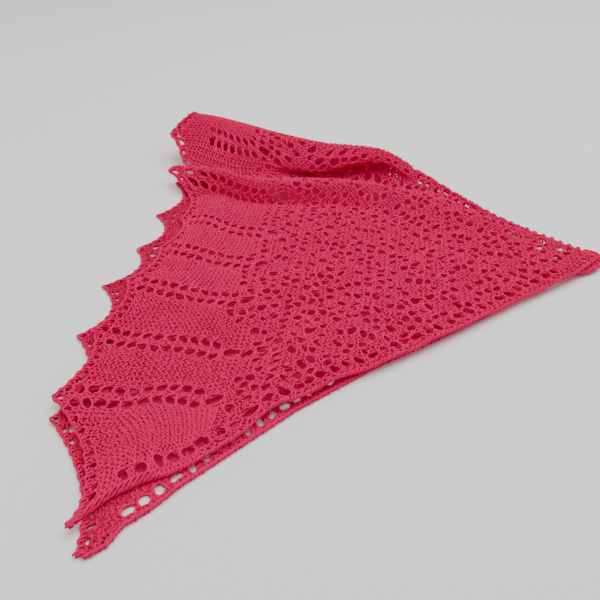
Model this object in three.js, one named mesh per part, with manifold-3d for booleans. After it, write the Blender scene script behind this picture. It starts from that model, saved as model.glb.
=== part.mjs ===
// Triangle lace shawl, knitted in one piece and laid out folded in half.
// Units are millimetres, +Z is up, and the table is the plane z = 0.
// The upper half lies on the lower one; both meet in a fold along the far edge.
// "along" runs from the neck corner down the columns of stitches to the points,
// "across" runs along the rows, from the straight top edge to the fold.
// "flat" is the place across the row when the cloth is spread out flat.

import * as THREE from 'three';
import { mergeVertices } from 'three/addons/utils/BufferGeometryUtils.js';
import Module from 'manifold-3d';

// Driving dimensions
const WALL = 3;
const SEAM = 0.3;
const POINT_ROW = 493;
const BORDER_ROW = 355;
const APEX_ROW = 20;
const EDGE_SLOPE = 0.953;
const EDGE_LENGTH = 591;
const BAND_WIDTH = 22;
const BAND_END_SLANT = 26;
const SCALLOP_DEPTH = 21;
const SCALLOP_POWER = 0.8;
const FOOT_GAP = 2.4;
const REPEAT_CELLS = 6;
const LAST_CELLS = 4;
const BODY_CELLS = 17;
const BORDER_CELLS = 6;
const BAND_CELLS = 26;
const FOLD_CELLS = 32;
const FOLD_FIRST_ROW = 4;

// Place of the neck corner and turn of the columns on the table
const NECK = new THREE.Vector2(264.3, -2.4);
const COLUMN_TURN = THREE.MathUtils.degToRad(172.5);
const ALONG = new THREE.Vector2(Math.cos(COLUMN_TURN), Math.sin(COLUMN_TURN));
const ACROSS = new THREE.Vector2(Math.sin(COLUMN_TURN), -Math.cos(COLUMN_TURN));

// Lace openings
const BORDER_EYELET = { long: 8.4, wide: 8.4, pitch: 11.7, first: 20, last: 12, apart: 7.4 };
const ROOT_EYELET = { long: 13, wide: 11 };
const BAND_EYELET = { long: 9.5, wide: 7, pitch: 11.8, inset: 14, first: 30, last: 16 };
const BODY_EYELET = { long: 6, wide: 5, pitchAlong: 50, pitchAcross: 71, margin: 16 };
const CUT_HEIGHT = 14;

// The folds of the upper half, a row for each fold line and a column for each station
const STATIONS = [0, 100, 190, 240, 300, 355, 400, 450, 493];
const FOLDS = [
  {
    name: 'hollow',
    flat: [0, 40, 75, 92, 104, 108, 112, 112, 100],
    slide: [0, 0, 0, 0, 0, 0, 0, 0, 0],
    across: [0, 40, 80, 98, 102, 95, 94, 112, 98],
    height: [10.5, 7.5, 8, 7.5, 6.6, 6.2, 6, 6, 7],
  },
  {
    name: 'ridge',
    flat: [0, 68, 112, 122, 135, 143, 147, 145, 138],
    slide: [0, 0, 0, 0, 0, 0, 0, 4, 28],
    across: [0, 71, 122, 130, 124, 110, 109, 130, 150],
    height: [10.5, 9.5, 15, 21, 26, 28, 30, 31, 19],
  },
  {
    name: 'valley',
    flat: [0, 74, 143, 156, 170, 182, 188, 186, 178],
    slide: [0, 0, 0, 2, 10, 15, 20, 22, 22],
    across: [0, 77, 155, 170, 168, 164, 156, 164, 174],
    height: [10.5, 9, 9.5, 10, 10.5, 12, 14, 17, 17],
  },
  {
    name: 'tuck',
    flat: [0, 77, 148, 168, 190, 193, 196, 194, 186],
    slide: [0, 0, 0, 2, 18, 24, 28, 27, 28],
    across: [0, 79, 161, 202, 187, 169, 166, 172, 182],
    height: [10.5, 9, 10.5, 17, 10, 15, 17, 20, 20],
  },
  {
    name: 'lip',
    flat: [0, 81, 154, 184, 210, 206, 208, 206, 202],
    slide: [0, 0, 0, 2, 24, 32, 34, 32, 38],
    across: [0, 81, 168, 187, 165, 174, 184, 198, 206],
    height: [10.5, 9.5, 14, 30, 23, 24, 27, 31, 26],
  },
  {
    name: 'front',
    flat: [0, 85, 162, 196, 230, 223, 223, 223, 223],
    slide: [0, 0, 0, 2, 27, 39, 40, 38, 50],
    across: [0, 83.5, 178, 192, 179, 190, 205, 230, 240],
    height: [10.5, 10.5, 17, 37, 37, 35, 37, 41, 33],
  },
  {
    name: 'top',
    flat: [0, 91, 173, 208, 253, 268, 276, 280, 283],
    slide: [0, 0, 0, 0, 25, 38, 40, 37, 34],
    across: [0, 86, 186, 203, 211, 232, 254, 272, 284],
    height: [10.5, 12, 20, 40, 43, 47, 49, 51, 50],
  },
  {
    name: 'back',
    flat: [0, 95, 181, 223, 276, 298, 306, 312, 314],
    slide: [0, 0, 0, 0, 20, 32, 34, 32, 29],
    across: [0, 88, 189, 210, 229, 253, 277, 294, 306],
    height: [10.5, 10.5, 14, 25, 27, 29, 30, 31, 29],
  },
  {
    name: 'foot',
    flat: [0, 98, 187, 236, 294, 322, 334, 341, 343],
    slide: [0, 0, 0, 0, 18, 28, 30, 30, 27],
    across: [0, 89, 190.5, 215, 236, 260, 284, 302, 313],
    height: [10.5, 7.5, 7.3, 7.3, 7.3, 7.3, 7.3, 7.3, 7.3],
  },
];

// Heights of the near part of the upper half, from the straight edge to the first hollow
const EDGE_HEIGHT = [10, 7, 10, 10, 12.5, 6.8, 6.2, 6, 6];
const PLAIN_HEIGHT = [10.3, 7.5, 8.5, 9, 8.2, 7.6, 8, 8, 8];
const LEAST_HEIGHT = 5.6;

// How far the straight edge of the upper half is drawn in, square to itself, row by row
const SWAY_ROWS = [0, 150, 200, 230, 260, 295, 316, 330, 350, 372, 395, 412, 428, 450, 493];
const EDGE_SWAY = [0, 1, 3, 6, 10.5, 11, 13, 6, 3, 3, 8, 8, 0, 0, 0];
const PLAIN_FLAT = -0.25;
const WAVES = [
  { height: 0.14, along: 118, across: 150, phase: 0.6 },
  { height: 0.1, along: -74, across: 96, phase: 2.1 },
];

// The points of the border: place across at the tip, at the root of their columns
// and at the root of their two lines of openings
const UPPER_POINTS = [
  { tip: -372, root: -307, line: -307 },
  { tip: -286, root: -283, line: -275 },
  { tip: -194, root: -206, line: -211 },
  { tip: -103, root: -112, line: -128 },
  { tip: -26, root: -44, line: -52 },
  { tip: 47, root: 14, line: 14 },
  { tip: 135, root: 120, line: 120 },
  { tip: 223, root: 223, line: 223 },
  { tip: 311, root: 300, line: 300 },
];
const WING = { along: 428, across: -408 };

// Outline of the lower half on the table
const LOWER_EDGE = [
  { along: 22, across: -20 },
  { along: 134, across: -134 },
  { along: 218, across: -197 },
  { along: 292, across: -269 },
  { along: 365, across: -360 },
  { along: 411, across: -427 },
];
const LOWER_POINTS = [
  { along: 411, across: -427 },
  { along: 487, across: -305 },
  { along: 508, across: -197 },
  { along: 516, across: -112 },
  { along: 506, across: -33 },
  { along: 508, across: 50 },
  { along: 511, across: 144 },
  { along: 521, across: 232 },
  { along: 522, across: 308 },
];
const LOWER_BORDER_ROW = 362;
const LOWER_WING = { along: 414, across: -398 };
const LOWER_APEX = 34;
const LOWER_WING_DEPTH = 13;
const SCALLOP_STEPS = 8;

const YARN_PINK = { color: '#df3f66', roughness: 0.9, metalness: 0 };
const YARN_SHADE = { color: '#b3203f', roughness: 0.95, metalness: 0 };

// Smooth curve through values at uneven stations
function curve(stations, values, at) {
  const last = stations.length - 1;
  let i = 0;
  while (i < last - 1 && at > stations[i + 1]) i += 1;
  const slope = (k) => {
    const a = Math.max(k - 1, 0);
    const b = Math.min(k + 1, last);
    if (a === k || b === k) return (values[b] - values[a]) / (stations[b] - stations[a]);
    const before = (values[k] - values[a]) / (stations[k] - stations[a]);
    const after = (values[b] - values[k]) / (stations[b] - stations[k]);
    const share = (stations[k] - stations[a]) / (stations[b] - stations[a]);
    return before * (1 - share) + after * share;
  };
  const span = stations[i + 1] - stations[i];
  const t = (at - stations[i]) / span;
  const t2 = t * t;
  const t3 = t2 * t;
  return (2 * t3 - 3 * t2 + 1) * values[i]
    + (t3 - 2 * t2 + t) * span * slope(i)
    + (3 * t2 - 2 * t3) * values[i + 1]
    + (t3 - t2) * span * slope(i + 1);
}

// A place given along the columns, across the rows and in height, on the table
function onTable(along, across, height) {
  return new THREE.Vector3(
    NECK.x + along * ALONG.x + across * ACROSS.x,
    NECK.y + along * ALONG.y + across * ACROSS.y,
    height,
  );
}

// Knots of one row of the upper half
function rowKnots(row) {
  const read = (values) => curve(STATIONS, values, row);
  const edge = -EDGE_SLOPE * row;
  const plain = PLAIN_FLAT * row;
  const drawn = edge + curve(SWAY_ROWS, EDGE_SWAY, row) * Math.hypot(1, EDGE_SLOPE);
  return {
    flat: [edge, plain, ...FOLDS.map((fold) => read(fold.flat))],
    slide: [0, 0, ...FOLDS.map((fold) => read(fold.slide))],
    across: [drawn, plain, ...FOLDS.map((fold) => read(fold.across))],
    height: [read(EDGE_HEIGHT), read(PLAIN_HEIGHT), ...FOLDS.map((fold) => read(fold.height))],
  };
}

// Middle of the wall of the upper half at a row and a flat place across it
function upperMiddle(row, flat) {
  const knots = rowKnots(row);
  const read = (values) => curve(knots.flat, values, flat);
  const swell = WAVES.reduce(
    (sum, wave) => sum + wave.height
      * Math.sin(2 * Math.PI * (row / wave.along + flat / wave.across) + wave.phase),
    1,
  );
  const near = THREE.MathUtils.smoothstep(-flat, -40, 40);
  const height = read(knots.height);
  const waved = Math.max(height * (1 + (swell - 1) * near), LEAST_HEIGHT);
  return onTable(row + read(knots.slide), read(knots.across), waved);
}

// A point of the upper half, moved out from the middle of the wall
function upperPoint(row, flat, out) {
  const step = 1.5;
  const middle = upperMiddle(row, flat);
  const downColumn = upperMiddle(row + step, flat).sub(upperMiddle(row - step, flat));
  const alongRow = upperMiddle(row, flat + step).sub(upperMiddle(row, flat - step));
  const normal = alongRow.cross(downColumn).normalize();
  return { point: middle.addScaledVector(normal, out), normal };
}

// Row and flat place for a distance along the straight edge and a distance in from it
const EDGE_UNIT = new THREE.Vector2(1, -EDGE_SLOPE).normalize();
function fromEdge(length, inset) {
  return {
    row: length * EDGE_UNIT.x - inset * EDGE_UNIT.y,
    flat: length * EDGE_UNIT.y + inset * EDGE_UNIT.x,
  };
}

// Flat place of the seam between band and body at a row
function bandSeam(row) {
  return -EDGE_SLOPE * row + (BAND_WIDTH + 2 * SEAM) * Math.hypot(1, EDGE_SLOPE);
}

function footFlat(row) {
  return curve(STATIONS, FOLDS[FOLDS.length - 1].flat, row);
}

// Outermost row of the border, scalloped between its points
function pointRow(flat) {
  const points = [{ tip: WING.across }, ...UPPER_POINTS.slice(1), { tip: 399 }];
  let i = 0;
  while (i < points.length - 2 && flat > points[i + 1].tip) i += 1;
  const t = (flat - points[i].tip) / (points[i + 1].tip - points[i].tip);
  const base = i === 0 ? THREE.MathUtils.lerp(WING.along, POINT_ROW, t) : POINT_ROW;
  return base - SCALLOP_DEPTH * Math.sin(Math.PI * THREE.MathUtils.clamp(t, 0, 1)) ** SCALLOP_POWER;
}

// A closed sheet of cloth: a box of cells whose corners are put in place one by one
function sheet(cellsAcross, cellsAlong, place) {
  const box = new THREE.BoxGeometry(1, 1, 1, cellsAcross, cellsAlong, 1);
  box.deleteAttribute('normal');
  box.deleteAttribute('uv');
  const corners = box.attributes.position;
  for (let i = 0; i < corners.count; i += 1) {
    const u = corners.getX(i) + 0.5;
    const v = corners.getY(i) + 0.5;
    const { x, y, z } = place(u, v, corners.getZ(i) * WALL);
    corners.setXYZ(i, x, y, z);
  }
  return mergeVertices(box, 1e-4);
}

const { Manifold, Mesh } = await Module().then((wasm) => {
  wasm.setup();
  return wasm;
});

function toManifold(geometry) {
  return new Manifold(new Mesh({
    numProp: 3,
    vertProperties: new Float32Array(geometry.attributes.position.array),
    triVerts: new Uint32Array(geometry.index.array),
  }));
}

function fromManifold(solid) {
  const mesh = solid.getMesh();
  const geometry = new THREE.BufferGeometry();
  geometry.setAttribute('position', new THREE.BufferAttribute(mesh.vertProperties, 3));
  geometry.setIndex(new THREE.BufferAttribute(mesh.triVerts, 1));
  return geometry;
}

// A prism that cuts one opening square to the wall of the upper half
function cutter({ row, flat, long, wide, sides }) {
  const prism = new THREE.CylinderGeometry(0.5, 0.5, CUT_HEIGHT, sides);
  prism.deleteAttribute('normal');
  prism.deleteAttribute('uv');
  const { point, normal } = upperPoint(row, flat, 0);
  const ahead = upperPoint(row + 2, flat, 0).point.sub(point).normalize();
  const side = new THREE.Vector3().crossVectors(normal, ahead);
  const square = new THREE.Vector3().crossVectors(side, normal);
  const turn = new THREE.Matrix4().makeBasis(side, normal, square);
  prism.scale(wide, 1, long);
  prism.applyMatrix4(turn);
  prism.translate(point.x, point.y, point.z);
  return toManifold(mergeVertices(prism, 1e-4));
}

function cut(geometry, openings) {
  const holes = Manifold.union(openings.map(cutter));
  const solid = toManifold(geometry).subtract(holes);
  return fromManifold(solid.simplify(0.1));
}

// Columns of the border: flat place at the points and at the roots of their eyelet lines
function borderColumns() {
  const foot = { tip: footFlat(POINT_ROW) - FOOT_GAP, root: footFlat(BORDER_ROW) - FOOT_GAP };
  const points = [...UPPER_POINTS, foot];
  const columns = [points[0]];
  for (let i = 1; i < points.length; i += 1) {
    const cells = i === points.length - 1 ? LAST_CELLS : REPEAT_CELLS;
    for (let k = 1; k <= cells; k += 1) {
      columns.push({
        tip: THREE.MathUtils.lerp(points[i - 1].tip, points[i].tip, k / cells),
        root: THREE.MathUtils.lerp(points[i - 1].root, points[i].root, k / cells),
      });
    }
  }
  return columns;
}

function upperBody() {
  const lastRow = BORDER_ROW - SEAM / 2;
  const columns = borderColumns();
  const last = columns.length - 1;
  const geometry = sheet(last, BODY_CELLS, (u, v, out) => {
    const row = THREE.MathUtils.lerp(APEX_ROW, lastRow, v);
    const near = bandSeam(row);
    const far = footFlat(row) - FOOT_GAP;
    const { root } = columns[Math.round(u * last)];
    const share = (root - columns[0].root) / (columns[last].root - columns[0].root);
    return upperPoint(row, THREE.MathUtils.lerp(near, far, share), out).point;
  });
  return cut(geometry, bodyOpenings());
}

function bodyOpenings() {
  const { long, wide, pitchAlong, pitchAcross, margin } = BODY_EYELET;
  const openings = [];
  for (let i = 1; i * pitchAlong < BORDER_ROW - margin; i += 1) {
    const row = i * pitchAlong;
    const shift = i % 2 === 0 ? 0 : pitchAcross / 2;
    for (let flat = -4 * pitchAcross + shift; flat < footFlat(row) - margin; flat += pitchAcross) {
      if (flat > bandSeam(row) + margin) openings.push({ row, flat, long, wide, sides: 6 });
    }
  }
  return openings;
}

function upperBorder() {
  const columns = borderColumns();
  const last = columns.length - 1;
  const geometry = sheet(last, BORDER_CELLS, (u, v, out) => {
    const { tip, root } = columns[Math.round(u * last)];
    const row = THREE.MathUtils.lerp(BORDER_ROW + SEAM / 2, pointRow(tip), v);
    const flat = Math.max(THREE.MathUtils.lerp(root, tip, v), bandSeam(row));
    return upperPoint(row, flat, out).point;
  });
  return cut(geometry, borderOpenings());
}

function borderOpenings() {
  const { long, wide, pitch, first, last, apart } = BORDER_EYELET;
  const openings = [];
  UPPER_POINTS.slice(1, -1).forEach(({ tip, line }) => {
    const length = POINT_ROW - BORDER_ROW;
    openings.push({ row: BORDER_ROW + 8, flat: line, ...ROOT_EYELET, sides: 6 });
    for (let row = POINT_ROW - first; row > BORDER_ROW + last + 8; row -= pitch) {
      const middle = THREE.MathUtils.lerp(line, tip, ((row - BORDER_ROW) / length) ** 2);
      [-apart, apart].forEach((aside) => {
        const flat = middle + aside;
        if (flat > bandSeam(row) + 8) openings.push({ row, flat, long, wide, sides: 4 });
      });
    }
  });
  return openings;
}

function upperBand() {
  const geometry = sheet(2, BAND_CELLS, (u, v, out) => {
    const inset = u * BAND_WIDTH;
    const length = THREE.MathUtils.lerp(6, EDGE_LENGTH - BAND_END_SLANT * u, v);
    const { row, flat } = fromEdge(length, inset);
    return upperPoint(row, flat, out).point;
  });
  return cut(geometry, bandOpenings());
}

function bandOpenings() {
  const { long, wide, pitch, inset, first, last } = BAND_EYELET;
  const openings = [];
  for (let length = first; length < EDGE_LENGTH - last - 10; length += pitch) {
    openings.push({ ...fromEdge(length, inset), long, wide, sides: 6 });
  }
  return openings;
}

// The fold that joins the upper half to the lower one along the far edge
function foldPoint(row, turn, out) {
  const step = 2;
  const foot = (at) => {
    const knots = rowKnots(at);
    const last = knots.flat.length - 1;
    return onTable(at + knots.slide[last], knots.across[last], knots.height[last]);
  };
  const end = foot(row);
  const run = foot(row + step).setZ(0).sub(foot(row - step).setZ(0)).normalize();
  const outward = new THREE.Vector3(run.y, -run.x, 0);
  const radius = (end.z - WALL / 2) / 2;
  const middle = end.clone().setZ(radius + WALL / 2);
  middle.addScaledVector(outward, Math.sin(turn) * (radius + out));
  middle.z += Math.cos(turn) * (radius + out);
  return middle;
}

// Rows at which the fold, and the lower half's edge beside it, have their corners
function foldRow(share) {
  return THREE.MathUtils.lerp(FOLD_FIRST_ROW, POINT_ROW - SCALLOP_DEPTH, share);
}

function spineFold() {
  return sheet(5, FOLD_CELLS, (u, v, out) => foldPoint(foldRow(v), u * Math.PI, out));
}

// Points of the straight edge of the lower half, moved in by an inset
function lowerEdge(inset) {
  return LOWER_EDGE.map(({ along, across }) => ({
    along: along - inset * EDGE_UNIT.y,
    across: across + inset * EDGE_UNIT.x,
  }));
}

// Far edge of the lower half, beside the fold
function lowerFoot() {
  const rows = [];
  for (let i = 0; i <= FOLD_CELLS; i += 1) {
    const row = foldRow(i / FOLD_CELLS);
    const knots = rowKnots(row);
    const last = knots.flat.length - 1;
    rows.push({ along: row + knots.slide[last], across: knots.across[last] - SEAM });
  }
  return rows;
}

// Outline of the points of the lower half, from the wing tip to the fold
function lowerScallops() {
  const outline = [];
  for (let i = 0; i < LOWER_POINTS.length - 1; i += 1) {
    for (let k = 0; k < SCALLOP_STEPS; k += 1) {
      const t = k / SCALLOP_STEPS;
      const most = i === 0 ? LOWER_WING_DEPTH : SCALLOP_DEPTH;
      const depth = most * Math.sin(Math.PI * t) ** SCALLOP_POWER;
      outline.push({
        along: THREE.MathUtils.lerp(LOWER_POINTS[i].along, LOWER_POINTS[i + 1].along, t) - depth,
        across: THREE.MathUtils.lerp(LOWER_POINTS[i].across, LOWER_POINTS[i + 1].across, t),
      });
    }
  }
  return outline;
}

// Across place of a broken line of points at a given distance along
function crossing(line, along) {
  const stations = line.map((point) => point.along);
  let i = 0;
  while (i < stations.length - 2 && along > stations[i + 1]) i += 1;
  const t = (along - stations[i]) / (stations[i + 1] - stations[i]);
  return THREE.MathUtils.lerp(line[i].across, line[i + 1].across, t);
}

function flatSheet(outline, openings) {
  const toPlan = ({ along, across }) => {
    const { x, y } = onTable(along, across, 0);
    return new THREE.Vector2(x, y);
  };
  const plan = outline.map(toPlan);
  if (THREE.ShapeUtils.isClockWise(plan)) plan.reverse();
  const shape = new THREE.Shape(plan);
  openings.forEach(({ along, across, long, wide }) => {
    const centre = toPlan({ along, across });
    const turn = Math.atan2(EDGE_UNIT.x * ALONG.y + EDGE_UNIT.y * ACROSS.y,
      EDGE_UNIT.x * ALONG.x + EDGE_UNIT.y * ACROSS.x);
    const hole = new THREE.EllipseCurve(centre.x, centre.y, long / 2, wide / 2, 0, 2 * Math.PI, true, turn);
    shape.holes.push(new THREE.Path(hole.getPoints(6).slice(0, -1)));
  });
  const plate = new THREE.ExtrudeGeometry(shape, { depth: WALL, bevelEnabled: false });
  plate.deleteAttribute('normal');
  plate.deleteAttribute('uv');
  return mergeVertices(plate, 1e-4);
}

function lowerBand() {
  const inner = lowerEdge(BAND_WIDTH).reverse();
  inner[0] = LOWER_WING;
  const openings = bandOpenings().map((opening) => {
    const along = opening.row + 2;
    return { ...opening, along, across: crossing(lowerEdge(BAND_EYELET.inset), along) };
  });
  const clear = openings.filter(({ along }) => along > 60 && along < 398);
  return flatSheet([...lowerEdge(0), ...inner], clear);
}

function lowerBody() {
  const seam = lowerEdge(BAND_WIDTH + SEAM);
  const last = LOWER_BORDER_ROW - SEAM;
  const near = seam.filter(({ along }) => along < last);
  const foot = lowerFoot().filter(({ along }) => along > LOWER_APEX && along < last);
  const corner = { along: last, across: crossing(seam, last) };
  const far = { along: last, across: crossing(lowerFoot(), last) };
  return flatSheet([...near, corner, far, ...foot.reverse()], []);
}

function lowerBorder() {
  const first = LOWER_BORDER_ROW;
  const seam = lowerEdge(BAND_WIDTH + SEAM);
  const start = { along: first, across: crossing(seam, first) };
  const near = seam.filter(({ along }) => along > first && along < LOWER_WING.along);
  const wing = { along: LOWER_WING.along, across: LOWER_WING.across + 2 * SEAM };
  const points = lowerScallops().filter(({ across }) => across > wing.across + SEAM);
  const foot = lowerFoot().filter(({ along }) => along > first);
  const far = { along: first, across: crossing(lowerFoot(), first) };
  return flatSheet([start, ...near, wing, ...points, ...foot.reverse(), far], []);
}

function piece(name, geometry, finish) {
  const mesh = new THREE.Mesh(geometry, new THREE.MeshStandardMaterial(finish));
  mesh.name = name;
  mesh.geometry.computeVertexNormals();
  return mesh;
}

const shawl = new THREE.Group();
shawl.name = 'triangle_shawl';
shawl.add(
  piece('upper_body', upperBody(), YARN_PINK),
  piece('upper_border', upperBorder(), YARN_PINK),
  piece('upper_band', upperBand(), YARN_PINK),
  piece('spine_fold', spineFold(), YARN_PINK),
  piece('lower_body', lowerBody(), YARN_SHADE),
  piece('lower_border', lowerBorder(), YARN_SHADE),
  piece('lower_band', lowerBand(), YARN_SHADE),
);

export default shawl;
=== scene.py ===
"""Triangle lace shawl, knitted from one pink yarn and laid out folded in half.

Sizes in the tables are millimetres in the frame of the CAD model, and MM turns them into metres.
"along" runs from the neck corner down the columns of stitches to the points, "across" runs along
the rows from the straight edge to the fold, and "flat" is the place across a row when the cloth is
spread out flat.
"""

import math
from functools import lru_cache

import bmesh
import bpy
import numpy as np
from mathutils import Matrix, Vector


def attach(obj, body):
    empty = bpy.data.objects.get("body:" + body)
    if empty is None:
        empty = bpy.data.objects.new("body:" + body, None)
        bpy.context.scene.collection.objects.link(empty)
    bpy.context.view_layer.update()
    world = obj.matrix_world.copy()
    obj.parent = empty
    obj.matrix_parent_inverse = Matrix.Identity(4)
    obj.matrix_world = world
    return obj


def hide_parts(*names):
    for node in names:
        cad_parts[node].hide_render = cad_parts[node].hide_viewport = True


bl_info = {
    "name": "Folded Lace Shawl",
    "version": (1, 0, 0),
    "blender": (4, 5, 0),
    "location": "View3D > Sidebar > Shawl",
    "description": "Knits a folded triangular lace shawl stitch by stitch over its frame",
    "category": "Mesh",
}

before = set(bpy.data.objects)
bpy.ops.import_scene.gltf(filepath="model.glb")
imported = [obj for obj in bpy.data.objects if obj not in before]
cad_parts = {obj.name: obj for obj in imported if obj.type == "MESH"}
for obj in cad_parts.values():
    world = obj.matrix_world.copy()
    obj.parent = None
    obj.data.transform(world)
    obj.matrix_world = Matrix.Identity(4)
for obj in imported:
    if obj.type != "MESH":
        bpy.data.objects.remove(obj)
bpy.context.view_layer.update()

MM = 0.001
TURN = 2 * math.pi

# Place of the neck corner on the table, and directions down the columns and across the rows
NECK = np.array([264.3, -2.4])
COLUMN_TURN = math.radians(172.5)
ALONG = np.array([math.cos(COLUMN_TURN), math.sin(COLUMN_TURN)])
ACROSS = np.array([math.sin(COLUMN_TURN), -math.cos(COLUMN_TURN)])

# Driving sizes of the cloth: its wall, its first row, the rows of the points and of the root of
# the border, how far the straight edge runs aside for each row, its length, and its band
WALL = 3.0
FIRST_ROW = 3.0
POINT_ROW = 493.0
BORDER_ROW = 355.0
EDGE_SLOPE = 0.953
EDGE_UNIT = np.array([1.0, -EDGE_SLOPE]) / math.hypot(1.0, EDGE_SLOPE)
EDGE_LENGTH = 591.0
BAND_WIDTH = 22.0
BAND_START = 6.0
# Depth of the scallops of the lower half and of the first one above, of the others above, and
# how full they are
SCALLOP_DEPTH = 21.0
UPPER_SCALLOP = 13.0
SCALLOP_POWER = 0.8
# Flat place of the plain ground beside the edge, by the row, and the least height of its middle
PLAIN_FLAT = -0.25
LEAST_HEIGHT = 5.6

# Folds of the upper half: a row for each fold line, with a value for each station down the columns
STATIONS = np.array([0.0, 100, 190, 240, 300, 355, 400, 450, 493])
FOLD_FIELDS = ("flat", "slide", "across", "height")
FOLDS = {
    "hollow": (
        (0, 40, 75, 92, 104, 108, 112, 112, 100),
        (0, 0, 0, 0, 0, 0, 0, 0, 0),
        (0, 40, 80, 98, 102, 95, 94, 112, 98),
        (10.5, 7.5, 8, 7.5, 6.6, 6.2, 6, 6, 7),
    ),
    "ridge": (
        (0, 68, 112, 122, 135, 143, 147, 145, 138),
        (0, 0, 0, 0, 0, 0, 0, 4, 28),
        (0, 71, 122, 130, 124, 110, 109, 130, 150),
        (10.5, 9.5, 15, 21, 26, 28, 30, 31, 19),
    ),
    "valley": (
        (0, 74, 143, 156, 170, 182, 188, 186, 178),
        (0, 0, 0, 2, 10, 15, 20, 22, 22),
        (0, 77, 155, 170, 168, 164, 156, 164, 174),
        (10.5, 9, 9.5, 10, 10.5, 12, 14, 17, 17),
    ),
    "tuck": (
        (0, 77, 148, 168, 190, 193, 196, 194, 186),
        (0, 0, 0, 2, 18, 24, 28, 27, 28),
        (0, 79, 161, 202, 187, 169, 166, 172, 182),
        (10.5, 9, 10.5, 17, 10, 15, 17, 20, 20),
    ),
    "lip": (
        (0, 81, 154, 184, 210, 206, 208, 206, 202),
        (0, 0, 0, 2, 24, 32, 34, 32, 38),
        (0, 81, 168, 187, 165, 174, 184, 198, 206),
        (10.5, 9.5, 14, 30, 23, 24, 27, 31, 26),
    ),
    "front": (
        (0, 85, 162, 196, 230, 223, 223, 223, 223),
        (0, 0, 0, 2, 27, 39, 40, 38, 50),
        (0, 83.5, 178, 192, 179, 190, 205, 230, 240),
        (10.5, 10.5, 17, 37, 37, 35, 37, 41, 33),
    ),
    "top": (
        (0, 91, 173, 208, 253, 268, 276, 280, 283),
        (0, 0, 0, 0, 25, 38, 40, 37, 34),
        (0, 86, 186, 203, 211, 232, 254, 272, 284),
        (10.5, 12, 20, 40, 43, 47, 49, 51, 50),
    ),
    "back": (
        (0, 95, 181, 223, 276, 298, 306, 312, 314),
        (0, 0, 0, 0, 20, 32, 34, 32, 29),
        (0, 88, 189, 210, 229, 253, 277, 294, 306),
        (10.5, 10.5, 14, 25, 27, 29, 30, 31, 29),
    ),
    "foot": (
        (0, 98, 187, 236, 294, 322, 334, 341, 343),
        (0, 0, 0, 0, 18, 28, 30, 30, 27),
        (0, 89, 190.5, 215, 236, 260, 284, 302, 313),
        (10.5, 7.5, 7.3, 7.3, 7.3, 7.3, 7.3, 7.3, 7.3),
    ),
}
EDGE_HEIGHT = (10, 7, 10, 10, 12.5, 6.8, 6.2, 6, 6)
PLAIN_HEIGHT = (10.3, 7.5, 8.5, 9, 8.2, 7.6, 8, 8, 8)
# Height share, length along, length across and phase of the slow waves of the near part, and
# how far from the plain ground they fade out
WAVES = ((0.14, 118, 150, 0.6), (0.1, -74, 96, 2.1))
WAVES_FADE = 40.0
# Rows of the table of knots: the first, the room past the last and the step
TABLE_FIRST = -10.0
TABLE_PAST = 30.0
TABLE_STEP = 0.5
# Step over which a slope is measured on the upper half, and on the line where it turns
SLOPE_STEP = 1.5
FOOT_STEP = 2.0
# How far the straight edge of the upper half is drawn in, square to itself, row by row
SWAY_ROWS = np.array(
    [0.0, 22, 50, 95, 150, 200, 230, 260, 295, 316, 330, 350, 372, 395, 412, 428, 450, 493]
)
EDGE_SWAY = np.array([0.0, -3.6, -3.2, 0, 1, 3, 6, 10.5, 11, 13, 6, 3, 3, 8, 8, 0, 0, 0])

# Flat place of each point of the border: at its tip, at the root of its columns of stitches
# and at the root of its two lines of openings
POINT_TIPS = np.array([-372.0, -286, -194, -103, -26, 47, 135, 223, 311])
POINT_ROOTS = np.array([-307.0, -283, -206, -112, -44, 14, 120, 223, 300])
POINT_LINES = np.array([-307.0, -275, -211, -128, -52, 14, 120, 223, 300])
REPEAT_STITCHES = 14
# Stitches of a row of the border, counted from its first point, and their width past the points
BORDER_STITCHES = (-24, REPEAT_STITCHES * 8 + 9)
OUTER_STITCH = 5.0
WING_ALONG = 428.0
WING_ACROSS = -408.0
LAST_TIP = 399.0
# Flat place from which the border bends with the fold, and how far it is knitted past the fold
FAR_BEND = 250.0
PAST_FOLD = 13.0

# Outline of the lower half on the table, along and across
LOWER_EDGE = np.array([
    (22, -10), (134, -121), (190, -172), (226, -202), (292, -269), (365, -360), (379, -382),
    (394, -399), (399, -415), (410, -426), (416.5, -423.0),
])
LOWER_POINTS = np.array([
    (417, -425), (487, -305), (508, -197), (516, -112), (506, -33), (508, 50), (511, 144),
    (521, 232), (522, 308.0),
])
LOWER_WING_DEPTH = 15.0
# Height of the lower half, and rise and lengths along and across of its slow ripple
LOWER_HEIGHT = 2.3
LOWER_RIPPLE = (0.25, 17.0, 23.0)
# Rows of stitches that show beside the scallops, and the depth of those that run on to the
# edge at the wing. Width of the band, its first row, the stitches of a row, and the length that
# they run past the band and that the last row keeps from the tip. Length of the rounded wing
LOWER_BORDER_ROWS = 8
LOWER_RIM = 26.0
LOWER_BAND = 34.0
LOWER_BAND_FIRST = 30.0
LOWER_BAND_STITCHES = 8
LOWER_BAND_PAST = 4.0
LOWER_WING_ROUND = 6.0

# Strands are pushed out of an opening as far as EYELET_REACH times its size, and within
# ROUND_SHARE of its size they are led round its middle. EYELET_NEAR is the search distance
EYELET_REACH = 2.0
ROUND_SHARE = 0.7
EYELET_NEAR = 16.0
# Lean of the openings, and how fast it changes from row to row and across
EYELET_SLANT = 0.55
SLANT_CHANGE = (1.7, 0.9)
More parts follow.
